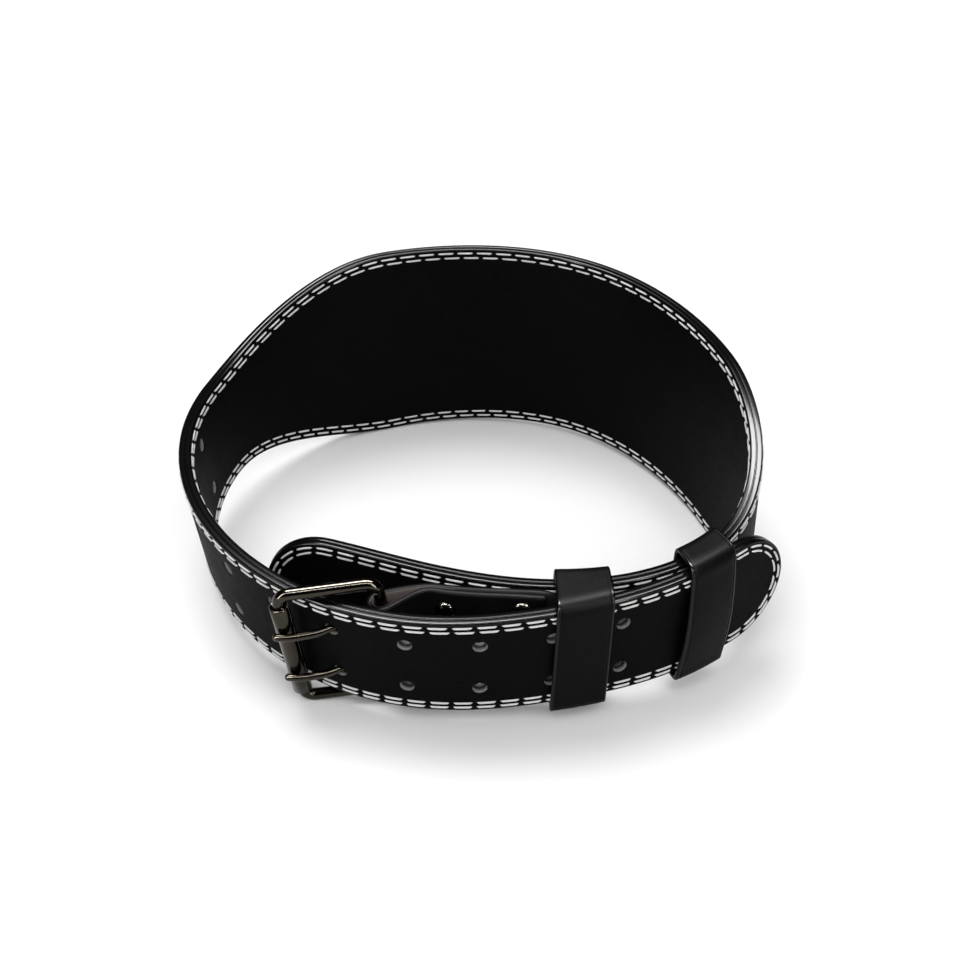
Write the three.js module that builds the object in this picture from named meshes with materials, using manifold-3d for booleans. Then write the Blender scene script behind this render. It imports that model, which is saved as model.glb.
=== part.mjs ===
// A weightlifting belt of thick black leather, buckled into a loop and standing on its lower edges.
// One strap runs from the short flap behind the buckle, round the right side, the tall back and the
// left side, then out through a two-prong roller buckle and two leather keepers to its rounded tip.
// Millimetres. +X is to the right seen from the buckle side, +Y goes through the waist to the back, +Z is up.

import * as THREE from 'three';
import { mergeVertices } from 'three/addons/utils/BufferGeometryUtils.js';
import Module from 'manifold-3d';

const wasm = await Module();
wasm.setup();

// Strap: places along it are distances from the flap's end, and follow its length
const STRAP_LENGTH = 1013;
const STRAP_THICKNESS = 5.6;
const FRONT_HEIGHT = 52.5;
const BACK_HEIGHT = 100;
const BACK_FROM = 0.309 * STRAP_LENGTH;
const BACK_TO = 0.5104 * STRAP_LENGTH;
const TAPER_LENGTH = 112;
const END_ROUNDING = 28;
const START_HEADING = -8.3;

// How the strap bends, by share of its length: degrees to the left in a tenth of the strap, and how far
// its top leans out, in degrees
const COURSE = [
  { share: 0, bend: -53.7, lean: -4 },
  { share: 0.0592, bend: 13.2, lean: -3.5 },
  { share: 0.1185, bend: 44.6, lean: -2.5 },
  { share: 0.1777, bend: 67.9, lean: -0.8 },
  { share: 0.2369, bend: 79, lean: -0.9 },
  { share: 0.2962, bend: 26.3, lean: 0.8 },
  { share: 0.3554, bend: 38.5, lean: 2.1 },
  { share: 0.4146, bend: 60.8, lean: 3.4 },
  { share: 0.4738, bend: 40.5, lean: 5.2 },
  { share: 0.5331, bend: 44.6, lean: 6.8 },
  { share: 0.5923, bend: 49.6, lean: 7.7 },
  { share: 0.6515, bend: 51.7, lean: 7.8 },
  { share: 0.7108, bend: 44.6, lean: 7 },
  { share: 0.77, bend: 45.6, lean: 5.6 },
  { share: 0.8292, bend: 55.7, lean: 4.2 },
  { share: 0.8885, bend: 17.2, lean: 2.5 },
  { share: 0.9477, bend: 48.6, lean: -0.8 },
  { share: 1, bend: -37.3, lean: -3.2 },
];

// Prong holes: pairs at an even pitch, one above the other, with the prongs in one of them
const HOLE_PAIRS = 10;
const PAIRS_BEFORE_USED = 5;
const USED_HOLE = 0.7976 * STRAP_LENGTH;
const HOLE_PITCH = 29.6;
const HOLE_SPACING = 25;
const HOLE_RADIUS = 2.8;

// Buckle: its hinge bar lies inside the billet behind the used hole, its roller outside and ahead of it.
// It leans out at the top, and rolls its top forward, towards the roller
const HINGE = { behind: 18.5, inward: 11.2 };
const ROLLER = { ahead: 18, outward: 8.6 };
const BUCKLE_LEAN = 4;
const BUCKLE_ROLL = 7;
const WIRE_RADIUS = 2.6;
const FRAME_CLEARANCE = 2.25;
const FRAME_HALF_HEIGHT = FRONT_HEIGHT / 2 + FRAME_CLEARANCE + WIRE_RADIUS;
const FRAME_CORNER = 5;
const ROLLER_PLAY = 1;
const ROLLER_LENGTH = 2 * (FRAME_HALF_HEIGHT - FRAME_CORNER) - ROLLER_PLAY;
const ROLLER_RADIUS = 4.1;
const ROLLER_BORE_RADIUS = 3;
const PRONG_RADIUS = 1.5;
const EYE_RADIUS = 4.45;

// Line of a prong from the hinge bar: reach as a share of the way to the roller, lift as a share of its rise
const PRONG_RISE = 6.3;
const PRONG_LINE = [
  { reach: 0, lift: 0.706 },
  { reach: 0.2, lift: 0.444 },
  { reach: 0.38, lift: 0.29 },
  { reach: 0.53, lift: 0.6 },
  { reach: 0.68, lift: 0.905 },
  { reach: 0.84, lift: 1 },
  { reach: 0.99, lift: 0.98 },
  { reach: 1.12, lift: 0.76 },
];

// Buckle strap: a folded strip that holds the hinge bar, riveted to the flap's outer face
const HOLDER_HEIGHT = 50;
const HOLDER_THICKNESS = 2.5;
const HOLDER_LIFT_OFF = 1.1;
const FOLD_EASE = 0.35;
const HOLDER_SLOT_HEIGHT = 4.6;
const HOLDER_SLOT_RADIUS = 6.9;

// Its sections from the tail's round corners to the fold: place as a share of the strap's length, and
// height as a share of its own
const HOLDER_SECTIONS = [
  { share: 0.1318, height: 0.68 },
  { share: 0.1283, height: 0.87 },
  { share: 0.1214, height: 1 },
  { share: 0.1086, height: 1 },
  { share: 0.0967, height: 0.95 },
  { share: 0.0849, height: 0.89 },
  { share: 0.0735, height: 0.85 },
];
const FOLD_HEIGHT = 0.84;

// Rivets through the flap and both layers of the buckle strap: place as a share of the strap's length,
// and height above its middle line as a share of the buckle strap's height
const RIVETS = [
  { name: 'rivet_near_upper', share: 0.0822, up: 0.25 },
  { name: 'rivet_near_lower', share: 0.0822, up: -0.25 },
  { name: 'rivet_far_upper', share: 0.1125, up: 0.36 },
  { name: 'rivet_far_lower', share: 0.1125, up: -0.36 },
];
const SHANK_RADIUS = 1.6;
const RIVET_HEAD_RADIUS = 4.2;
const RIVET_HEAD_HEIGHT = 1.7;
const RIVET_BACK_HEIGHT = 0.8;

// Keepers: leather loops round the inner layer and the billet. Their places on both layers are shares of
// the strap's length, for the edge nearer the buckle. In shares of a keeper's width, slant moves the lower
// edge back along the strap and bow swells the front
const KEEPER_THICKNESS = 2;
const KEEPER_WIDTH = 24;
const KEEPER_SLACK = 3;
const KEEPER_CLEAR = 0.7;
const KEEPER_CORNER = 3;
const KEEPER_SHOULDER = 5.2;
const KEEPERS = [
  { name: 'keeper_fixed', billet: 0.8855, inner: 0.1244, slant: 0.04, bow: 0.017 },
  { name: 'keeper_sliding', billet: 0.9437, inner: 0.1797, slant: 0.167, bow: 0.1 },
];

// Gap between pieces that touch on the real belt
const GAP = 0.35;

// How the buckled belt sits on a table: it tips forward and left, onto the back's lower edge and the buckle
const REST_PITCH = 3.69;
const REST_ROLL = -1.97;

const LEATHER = { color: 0x161616, roughness: 0.62, metalness: 0 };
const SMOOTH_LEATHER = { color: 0x1a1a1a, roughness: 0.45, metalness: 0 };
const SUEDE = { color: 0x2b2725, roughness: 0.9, metalness: 0 };
const NICKEL = { color: 0x6f6a62, roughness: 0.25, metalness: 1 };

const radians = THREE.MathUtils.degToRad;

// Reads a column of the course at a share of the strap's length, straight between its rows
function courseAt(column, share) {
  const found = COURSE.findIndex((row) => row.share > share);
  const upper = found < 0 ? COURSE.length - 1 : found;
  const [low, high] = [COURSE[upper - 1], COURSE[upper]];
  const along = (share - low.share) / (high.share - low.share);
  return THREE.MathUtils.lerp(low[column], high[column], along);
}

// Walks the course in even steps of about one millimetre
const COURSE_STEPS = 1000;

function walkCourse() {
  const stride = STRAP_LENGTH / COURSE_STEPS;
  const tenth = COURSE_STEPS / 10;
  const places = [{ x: 0, y: 0, heading: radians(START_HEADING) }];
  for (let step = 0; step < COURSE_STEPS; step += 1) {
    const { x, y, heading } = places[step];
    const turn = radians(courseAt('bend', (step + 0.5) / COURSE_STEPS)) / tenth;
    const middle = heading + turn / 2;
    const next = { x: x + stride * Math.cos(middle), y: y + stride * Math.sin(middle) };
    places.push({ ...next, heading: heading + turn });
  }
  return places;
}

const PLACES = walkCourse();

// The strap's own axes at a place: X outward, Y along the strap, Z up its leaning wall
function strapFrame(at) {
  const step = at / STRAP_LENGTH * COURSE_STEPS;
  const low = Math.min(Math.floor(step), COURSE_STEPS - 1);
  const share = step - low;
  const [from, to] = [PLACES[low], PLACES[low + 1]];
  const heading = THREE.MathUtils.lerp(from.heading, to.heading, share);
  const lean = radians(courseAt('lean', at / STRAP_LENGTH));
  const level = new THREE.Vector3(Math.sin(heading), -Math.cos(heading), 0);
  const along = new THREE.Vector3(Math.cos(heading), Math.sin(heading), 0);
  const up = level.clone().multiplyScalar(Math.sin(lean)).setZ(Math.cos(lean));
  const outward = level.clone().multiplyScalar(Math.cos(lean)).setZ(-Math.sin(lean));
  const x = THREE.MathUtils.lerp(from.x, to.x, share);
  const y = THREE.MathUtils.lerp(from.y, to.y, share);
  return new THREE.Matrix4().makeBasis(outward, along, up).setPosition(x, y, 0);
}

function strapPoint(at, outward, up) {
  return new THREE.Vector3(outward, 0, up).applyMatrix4(strapFrame(at));
}

// Height of the strap: low in front, tall at the back, with a smooth taper between and rounded ends
function strapHeight(at) {
  const rise = THREE.MathUtils.smoothstep(at, BACK_FROM - TAPER_LENGTH, BACK_FROM);
  const fall = THREE.MathUtils.smoothstep(at, BACK_TO, BACK_TO + TAPER_LENGTH);
  const height = FRONT_HEIGHT + (BACK_HEIGHT - FRONT_HEIGHT) * rise * (1 - fall);
  const fromEnd = Math.min(at, STRAP_LENGTH - at) / END_ROUNDING;
  return fromEnd < 1 ? height * Math.sqrt(1 - (1 - fromEnd) ** 2) : height;
}

// Places of the strap's sections: close together round its ends, even between them
function sectionPlaces() {
  const endSteps = 9;
  const evenSteps = 118;
  const firstAngle = radians(14);
  const ends = [];
  for (let step = 0; step < endSteps; step += 1) {
    const angle = THREE.MathUtils.lerp(firstAngle, Math.PI / 2, step / endSteps);
    ends.push(END_ROUNDING * (1 - Math.cos(angle)));
  }
  const even = [];
  for (let step = 0; step <= evenSteps; step += 1) {
    even.push(THREE.MathUtils.lerp(END_ROUNDING, STRAP_LENGTH - END_ROUNDING, step / evenSteps));
  }
  const far = ends.map((place) => STRAP_LENGTH - place).reverse();
  return [...ends, ...even, ...far];
}

function solidOf(geometry) {
  const bare = geometry.clone();
  bare.deleteAttribute('normal');
  bare.deleteAttribute('uv');
  const merged = mergeVertices(bare, 1e-4);
  const vertProperties = new Float32Array(merged.attributes.position.array);
  const triVerts = new Uint32Array(merged.index.array);
  return new wasm.Manifold(new wasm.Mesh({ numProp: 3, vertProperties, triVerts }));
}

function geometryOf(solid) {
  const mesh = solid.getMesh();
  const geometry = new THREE.BufferGeometry();
  geometry.setAttribute('position', new THREE.BufferAttribute(mesh.vertProperties, 3));
  geometry.setIndex(new THREE.BufferAttribute(mesh.triVerts, 1));
  geometry.computeVertexNormals();
  return geometry;
}

// Moves every vertex of a geometry by a rule
function reshape(geometry, rule) {
  const position = geometry.attributes.position;
  const point = new THREE.Vector3();
  for (let index = 0; index < position.count; index += 1) {
    point.fromBufferAttribute(position, index);
    const moved = rule(point, index);
    position.setXYZ(index, moved.x, moved.y, moved.z);
  }
  return geometry;
}

// A cylinder across the strap, from one outward distance to another
function crossBore({ at, up, radius, from, to }) {
  const bore = new THREE.CylinderGeometry(radius, radius, to - from, 14).rotateZ(Math.PI / 2);
  bore.translate((from + to) / 2, 0, up);
  return solidOf(bore.applyMatrix4(strapFrame(at)));
}

// A cylinder through the strap's wall and a little past both faces
function wallBore(at, up, radius) {
  const reach = 0.7 * STRAP_THICKNESS;
  return crossBore({ at, up, radius, from: -reach, to: reach });
}

const HINGE_CENTRE = strapPoint(USED_HOLE + HINGE.behind, -HINGE.inward, 0).setZ(0);
const ROLLER_CENTRE = strapPoint(USED_HOLE - ROLLER.ahead, ROLLER.outward, 0).setZ(0);
const ROLLER_REACH = HINGE_CENTRE.distanceTo(ROLLER_CENTRE);

// The buckle's own axes, from the hinge bar's middle: X to the roller, Y outward from the waist, Z up
function buckleFrame() {
  const reach = ROLLER_CENTRE.clone().sub(HINGE_CENTRE).normalize();
  const level = new THREE.Vector3(0, 0, 1).cross(reach);
  const lean = radians(BUCKLE_LEAN);
  const up = level.clone().multiplyScalar(Math.sin(lean)).setZ(Math.cos(lean));
  const outward = up.clone().cross(reach);
  const middle = HINGE_CENTRE.clone().lerp(ROLLER_CENTRE, 0.5);
  const square = new THREE.Matrix4().makeBasis(reach, outward, up).setPosition(middle);
  const roll = new THREE.Matrix4().makeRotationY(radians(BUCKLE_ROLL));
  return square.multiply(roll).multiply(new THREE.Matrix4().makeTranslation(-ROLLER_REACH / 2, 0, 0));
}

const BUCKLE = buckleFrame();

// The thick strap before any hole is cut: a box whose sections are laid along the course
function strapBlank() {
  const places = sectionPlaces();
  const segments = places.length - 1;
  const box = new THREE.BoxGeometry(segments, STRAP_THICKNESS, 1, segments, 1, 1);
  return reshape(box, (point) => {
    const at = places[Math.round(point.x + segments / 2)];
    return strapPoint(at, -point.y, point.z * strapHeight(at));
  });
}

function prongLine() {
  const points = PRONG_LINE.map(({ reach, lift }) => {
    return new THREE.Vector3(reach * ROLLER_REACH, lift * PRONG_RISE, 0);
  });
  return new THREE.CatmullRomCurve3(points, false, 'centripetal');
}

// A round bar along a prong's line; the leather's cut for it is the same bar, thicker
function prongBar(radius) {
  const section = new THREE.Shape().absarc(0, 0, radius, 0, 2 * Math.PI);
  const options = { steps: 20, curveSegments: 4, extrudePath: prongLine() };
  return new THREE.ExtrudeGeometry(section, options);
}

// A prong: its eye turns on the hinge bar, its bar lies over the roller
function makeProng(up) {
  const eye = solidOf(new THREE.TorusGeometry(EYE_RADIUS, PRONG_RADIUS, 8, 16));
  const prong = eye.add(solidOf(prongBar(PRONG_RADIUS)));
  const place = BUCKLE.clone().multiply(new THREE.Matrix4().makeTranslation(0, 0, up));
  return geometryOf(prong).applyMatrix4(place);
}

function makeStrap() {
  let strap = solidOf(strapBlank());
  for (let pair = 0; pair < HOLE_PAIRS; pair += 1) {
    for (const side of [-1, 1]) {
      const at = USED_HOLE + (pair - PAIRS_BEFORE_USED) * HOLE_PITCH;
      strap = strap.subtract(wallBore(at, side * HOLE_SPACING / 2, HOLE_RADIUS));
    }
  }
  for (const side of [-1, 1]) {
    const place = new THREE.Matrix4().makeTranslation(0, 0, side * HOLE_SPACING / 2);
    const channel = prongBar(PRONG_RADIUS + GAP).applyMatrix4(place).applyMatrix4(BUCKLE);
    strap = strap.subtract(solidOf(channel));
  }
  for (const { share, up } of RIVETS) {
    strap = strap.subtract(wallBore(share * STRAP_LENGTH, up * HOLDER_HEIGHT, SHANK_RADIUS + GAP));
  }
  return geometryOf(strap);
}

// One long edge of the buckle strap, on its upper or lower side: out along the flap's face, round the
// hinge bar and back over itself. The outer layer ends two sections sooner, where the billet comes close
function holderEdge(side) {
  const inner = STRAP_THICKNESS / 2 + GAP + HOLDER_THICKNESS / 2;
  const outer = inner + HOLDER_THICKNESS + GAP;
  const bend = WIRE_RADIUS + GAP + FOLD_EASE + HOLDER_THICKNESS / 2;
  const half = side * HOLDER_HEIGHT / 2;
  const last = HOLDER_SECTIONS.at(-1);
  const lay = (outward) => (section) => {
    const lift = section === last ? HOLDER_LIFT_OFF : 0;
    return strapPoint(section.share * STRAP_LENGTH, outward + lift, section.height * half);
  };
  const out = HOLDER_SECTIONS.map(lay(inner));
  const back = HOLDER_SECTIONS.slice(2).map(lay(outer)).reverse();
  const fold = [-1, -0.5, 0, 0.5, 1].map((share) => {
    const angle = share * Math.PI / 2;
    const onFold = new THREE.Vector3(bend * Math.cos(angle), bend * Math.sin(angle), FOLD_HEIGHT * half);
    return onFold.applyMatrix4(BUCKLE);
  });
  return new THREE.CatmullRomCurve3([...out, ...fold, ...back], false, 'centripetal');
}

// The folded strip: its fold is slotted where the prongs' eyes go round the bar
function makeHolder() {
  const steps = 64;
  const low = holderEdge(-1);
  const high = holderEdge(1);
  const box = new THREE.BoxGeometry(steps, HOLDER_THICKNESS, 1, steps, 1, 1);
  const strip = reshape(box, (point) => {
    const share = point.x / steps + 0.5;
    const [bottom, top] = [low.getPoint(share), high.getPoint(share)];
    const across = low.getTangent(share).add(high.getTangent(share)).cross(top.clone().sub(bottom));
    return bottom.lerp(top, point.z + 0.5).add(across.setLength(1).multiplyScalar(-point.y));
  });
  let holder = solidOf(strip);
  for (const side of [-1, 1]) {
    const slot = new THREE.CylinderGeometry(HOLDER_SLOT_RADIUS, HOLDER_SLOT_RADIUS, HOLDER_SLOT_HEIGHT, 16);
    slot.rotateX(Math.PI / 2).translate(0, 0, side * HOLE_SPACING / 2).applyMatrix4(BUCKLE);
    holder = holder.subtract(solidOf(slot));
  }
  const from = STRAP_THICKNESS / 2;
  const bore = { radius: SHANK_RADIUS + GAP, from, to: from + 3 * HOLDER_THICKNESS };
  for (const { share, up } of RIVETS) {
    const place = { at: share * STRAP_LENGTH, up: up * HOLDER_HEIGHT };
    holder = holder.subtract(crossBore({ ...bore, ...place }));
  }
  return geometryOf(holder);
}

// The buckle's wire frame: a closed rectangle with round corners
function makeFrame() {
  const path = new THREE.Path();
  const quarter = Math.PI / 2;
  const near = FRAME_CORNER;
  const far = ROLLER_REACH - FRAME_CORNER;
  const edge = FRAME_HALF_HEIGHT - FRAME_CORNER;
  path.absarc(far, -edge, FRAME_CORNER, -quarter, 0);
  path.absarc(far, edge, FRAME_CORNER, 0, quarter);
  path.absarc(near, edge, FRAME_CORNER, quarter, 2 * quarter);
  path.absarc(near, -edge, FRAME_CORNER, 2 * quarter, 3 * quarter);
  path.closePath();
  const points = path.getPoints(6).slice(0, -1).map(({ x, y }) => new THREE.Vector3(x, 0, y));
  const curve = new THREE.CatmullRomCurve3(points, true, 'centripetal');
  return new THREE.TubeGeometry(curve, 80, WIRE_RADIUS, 8, true).applyMatrix4(BUCKLE);
}

function makeRoller() {
  const section = new THREE.Shape().absarc(0, 0, ROLLER_RADIUS, 0, 2 * Math.PI);
  section.holes.push(new THREE.Path().absarc(0, 0, ROLLER_BORE_RADIUS, 0, 2 * Math.PI, true));
  const options = { depth: ROLLER_LENGTH, curveSegments: 12, bevelEnabled: false };
  const tube = new THREE.ExtrudeGeometry(section, options);
  return tube.translate(ROLLER_REACH, 0, -ROLLER_LENGTH / 2).applyMatrix4(BUCKLE);
}

// A rivet: a low domed head outside the buckle strap, a shank, and a flat back inside the flap
function makeRivet({ share, up }) {
  const back = -STRAP_THICKNESS / 2 - GAP;
  const front = STRAP_THICKNESS / 2 + 2 * HOLDER_THICKNESS + 3 * GAP;
  const profile = [
    new THREE.Vector2(0, back - RIVET_BACK_HEIGHT),
    new THREE.Vector2(RIVET_HEAD_RADIUS, back - RIVET_BACK_HEIGHT),
    new THREE.Vector2(RIVET_HEAD_RADIUS, back),
    new THREE.Vector2(SHANK_RADIUS, back),
    new THREE.Vector2(SHANK_RADIUS, front),
  ];
  const domeSteps = 3;
  for (let step = 0; step <= domeSteps; step += 1) {
    const angle = step / domeSteps * Math.PI / 2;
    const radius = step < domeSteps ? RIVET_HEAD_RADIUS * Math.cos(angle) : 0;
    profile.push(new THREE.Vector2(radius, front + RIVET_HEAD_HEIGHT * Math.sin(angle)));
  }
  const rivet = new THREE.LatheGeometry(profile, 14).rotateZ(-Math.PI / 2);
  return rivet.translate(0, 0, up * HOLDER_HEIGHT).applyMatrix4(strapFrame(share * STRAP_LENGTH));
}

// A keeper's outline at one distance along its width: a closed run of points round both layers, from
// the billet's top over to the inner layer's, down and back, with round corners and a swelling front
function keeperOutline(keeper, shift, grow) {
  const clear = STRAP_THICKNESS / 2 + KEEPER_CLEAR + grow;
  const high = FRONT_HEIGHT / 2 + KEEPER_SLACK + grow;
  const billet = keeper.billet * STRAP_LENGTH + shift;
  const inner = keeper.inner * STRAP_LENGTH + shift;
  const slant = keeper.slant * KEEPER_WIDTH;
  const corners = [
    { point: strapPoint(billet, clear, high), radius: KEEPER_SHOULDER + grow },
    { point: strapPoint(inner, -clear, high), radius: KEEPER_CORNER + grow },
    { point: strapPoint(inner - slant, -clear, -high), radius: KEEPER_CORNER + grow },
    { point: strapPoint(billet - slant, clear, -high), radius: KEEPER_CORNER + grow },
  ];
  const points = [];
  corners.forEach(({ point, radius }, index) => {
    const towards = (other) => point.clone().add(other.point.clone().sub(point).setLength(radius));
    const before = towards(corners[(index + 3) % 4]);
    const after = towards(corners[(index + 1) % 4]);
    points.push(...new THREE.QuadraticBezierCurve3(before, point, after).getPoints(6));
  });
  const lowest = points.at(-1);
  const swell = new THREE.Vector3().subVectors(corners[0].point, corners[1].point).setZ(0);
  swell.setLength(keeper.bow * KEEPER_WIDTH);
  const frontSteps = 6;
  for (let step = 1; step < frontSteps; step += 1) {
    const share = step / frontSteps;
    const bulge = swell.clone().multiplyScalar(Math.sin(share * Math.PI));
    points.push(lowest.clone().lerp(points[0], share).add(bulge));
  }
  return points;
}

// A keeper: a ring whose six long edges follow its outline at the near edge, the middle and the far edge
function makeKeeper(keeper) {
  const edges = [
    { shift: KEEPER_WIDTH, grow: KEEPER_THICKNESS },
    { shift: KEEPER_WIDTH / 2, grow: KEEPER_THICKNESS },
    { shift: 0, grow: KEEPER_THICKNESS },
    { shift: 0, grow: 0 },
    { shift: KEEPER_WIDTH / 2, grow: 0 },
    { shift: KEEPER_WIDTH, grow: 0 },
  ];
  const outlines = edges.map(({ shift, grow }) => keeperOutline(keeper, shift, grow));
  const count = outlines[0].length;
  const ring = new THREE.TorusGeometry(2, 1, edges.length, count);
  return reshape(ring, (point, index) => {
    const edge = Math.floor(index / (count + 1)) % edges.length;
    return outlines[edge][index % (count + 1) % count];
  });
}

function piece(name, geometry, look) {
  const mesh = new THREE.Mesh(geometry, new THREE.MeshStandardMaterial(look));
  mesh.name = name;
  return mesh;
}

const belt = new THREE.Group();
belt.add(piece('belt_strap', makeStrap(), LEATHER));
belt.add(piece('buckle_strap', makeHolder(), SUEDE));
belt.add(piece('buckle_frame', makeFrame(), NICKEL));
belt.add(piece('roller', makeRoller(), NICKEL));
belt.add(piece('prong_upper', makeProng(HOLE_SPACING / 2), NICKEL));
belt.add(piece('prong_lower', makeProng(-HOLE_SPACING / 2), NICKEL));
for (const rivet of RIVETS) {
  belt.add(piece(rivet.name, makeRivet(rivet), NICKEL));
}
for (const keeper of KEEPERS) {
  belt.add(piece(keeper.name, makeKeeper(keeper), SMOOTH_LEATHER));
}

// At rest on a table, with the middle of the footprint at the origin
belt.rotation.set(radians(REST_PITCH), radians(REST_ROLL), 0);
const extent = new THREE.Box3().setFromObject(belt, true);
const middle = extent.getCenter(new THREE.Vector3());
belt.position.set(-middle.x, -middle.y, -extent.min.z);

const weightliftingBelt = new THREE.Group();
weightliftingBelt.add(belt);

export default weightliftingBelt;
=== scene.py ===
"""A black leather weightlifting belt, buckled into a loop and standing on its lower edges.

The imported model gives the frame, and every leather, thread and metal piece here is built over its solid.
Sizes are in millimetres, in the belt's own axes, until a vertex is placed in the world.
"""

import math

import bmesh
import bpy
import numpy as np
from mathutils import Matrix, Vector


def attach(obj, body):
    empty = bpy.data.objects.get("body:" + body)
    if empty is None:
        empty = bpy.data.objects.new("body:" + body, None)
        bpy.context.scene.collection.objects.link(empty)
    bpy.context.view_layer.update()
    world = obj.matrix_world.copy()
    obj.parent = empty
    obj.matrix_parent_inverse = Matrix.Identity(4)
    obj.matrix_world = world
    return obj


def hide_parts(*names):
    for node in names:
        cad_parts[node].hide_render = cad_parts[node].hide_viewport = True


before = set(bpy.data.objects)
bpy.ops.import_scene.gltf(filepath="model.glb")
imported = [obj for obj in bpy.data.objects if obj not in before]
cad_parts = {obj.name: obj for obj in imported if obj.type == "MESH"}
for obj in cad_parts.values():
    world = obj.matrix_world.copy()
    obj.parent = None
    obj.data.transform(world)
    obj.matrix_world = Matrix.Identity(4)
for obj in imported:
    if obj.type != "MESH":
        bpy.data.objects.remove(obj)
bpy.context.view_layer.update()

# Strap: one long strip of two bonded leathers, dyed black, punched with pairs of prong holes, with its edges
# rounded, burnished and painted. It is low in front, tall over the back, and bends right round the waist.
STRAP_LENGTH = 1013.0
STRAP_THICKNESS = 5.6
FRONT_HEIGHT = 52.5
BACK_HEIGHT = 100.0
BACK_FROM, BACK_TO, TAPER_LENGTH = 0.309 * STRAP_LENGTH, 0.5104 * STRAP_LENGTH, 112.0
END_ROUNDING = 28.0
START_HEADING = -8.3
COURSE_SHARE = (0, 0.0592, 0.1185, 0.1777, 0.2369, 0.2962, 0.3554, 0.4146, 0.4738,
                0.5331, 0.5923, 0.6515, 0.7108, 0.77, 0.8292, 0.8885, 0.9477, 1)
COURSE_BEND = (-53.7, 13.2, 44.6, 67.9, 79, 26.3, 38.5, 60.8, 40.5,
               44.6, 49.6, 51.7, 44.6, 45.6, 55.7, 17.2, 48.6, -37.3)
COURSE_LEAN = (-4, -3.5, -2.5, -0.8, -0.9, 0.8, 2.1, 3.4, 5.2, 6.8, 7.7, 7.8, 7, 5.6, 4.2, 2.5, -0.8, -3.2)
REST_PITCH, REST_ROLL = math.radians(3.69), math.radians(-1.97)
REST_SHIFT = (-88.002, -68.745, 36.733)
HOLE_PAIRS = 10
PAIRS_BEFORE_USED = 5
USED_HOLE = 0.7976 * STRAP_LENGTH
HOLE_PITCH = 29.6
HOLE_SPACING = 25.0
HOLE_RADIUS = 2.8


def walk_course(steps=1000):
    """The strap's middle line in plan: its heading turns by the course's bend at each even step, and each
    step goes forward along the heading half way through its turn."""
    share = (np.arange(steps) + 0.5) / steps
    turn = np.radians(np.interp(share, COURSE_SHARE, COURSE_BEND)) * 10 / steps
    heading = math.radians(START_HEADING) + np.concatenate([[0], np.cumsum(turn)])
    middle = heading[:-1] + turn / 2
    stride = STRAP_LENGTH / steps
    x = np.concatenate([[0], np.cumsum(np.cos(middle))]) * stride
    y = np.concatenate([[0], np.cumsum(np.sin(middle))]) * stride
    return np.linspace(0, STRAP_LENGTH, steps + 1), heading, x, y


WALK_AT, WALK_HEADING, WALK_X, WALK_Y = walk_course()


def strap_axes(at):
    """At distances along the strap from the flap's end: the middle line's point, and the unit vectors that
    point outward from the waist, along the strap and up its leaning wall."""
    heading = np.interp(at, WALK_AT, WALK_HEADING)
    lean = np.radians(np.interp(at / STRAP_LENGTH, COURSE_SHARE, COURSE_LEAN))
    level = np.stack([np.sin(heading), -np.cos(heading), 0 * heading], -1)
    along = np.stack([np.cos(heading), np.sin(heading), 0 * heading], -1)
    z = np.array([0.0, 0.0, 1.0])
    up_wall = level * np.sin(lean)[..., None] + z * np.cos(lean)[..., None]
    outward = level * np.cos(lean)[..., None] - z * np.sin(lean)[..., None]
    centre = np.stack([np.interp(at, WALK_AT, WALK_X), np.interp(at, WALK_AT, WALK_Y), 0 * heading], -1)
    return centre, outward, along, up_wall


def strap_point(at, outward, up):
    """The middle line's point at a distance along the strap, moved outward and up the leaning wall."""
    at, outward, up = np.broadcast_arrays(np.asarray(at, float), outward, up)
    centre, out_axis, _, up_axis = strap_axes(at)
    return centre + out_axis * outward[..., None] + up_axis * up[..., None]


def in_world(points):
    """Points of the belt's own axes, rolled and pitched as it rests, moved to its place and put in metres."""
    cp, sp, cr, sr = math.cos(REST_PITCH), math.sin(REST_PITCH), math.cos(REST_ROLL), math.sin(REST_ROLL)
    rolled = np.array([[cr, 0, sr], [0, 1, 0], [-sr, 0, cr]])
    pitched = np.array([[1, 0, 0], [0, cp, -sp], [0, sp, cp]])
    return (points @ (pitched @ rolled).T + REST_SHIFT) / 1000


def strap_height(at):
    """Front height, plus a smooth rise to the back's height and a smooth fall from it, with elliptic ends."""
    def smooth(share):
        share = np.clip(share, 0, 1)
        return share * share * (3 - 2 * share)
    rise = smooth((at - BACK_FROM + TAPER_LENGTH) / TAPER_LENGTH)
    fall = smooth((at - BACK_TO) / TAPER_LENGTH)
    height = FRONT_HEIGHT + (BACK_HEIGHT - FRONT_HEIGHT) * rise * (1 - fall)
    from_end = np.clip(np.minimum(at, STRAP_LENGTH - at) / END_ROUNDING, 0, 1)
    return height * np.sqrt(1 - (1 - from_end) ** 2)


def grid_faces(rows, columns, wrap_rows=False, wrap_columns=False, start=0):
    """Four-cornered faces of a grid of vertices numbered along its columns, wrapped where it closes."""
    r = np.arange(rows if wrap_rows else rows - 1)
    c = np.arange(columns if wrap_columns else columns - 1)
    r, c = np.meshgrid(r, c, indexing="ij")
    r2, c2 = (r + 1) % rows, (c + 1) % columns
    quads = np.stack([r * columns + c, r * columns + c2, r2 * columns + c2, r2 * columns + c], -1)
    return quads.reshape(-1, 4) + start


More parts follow.
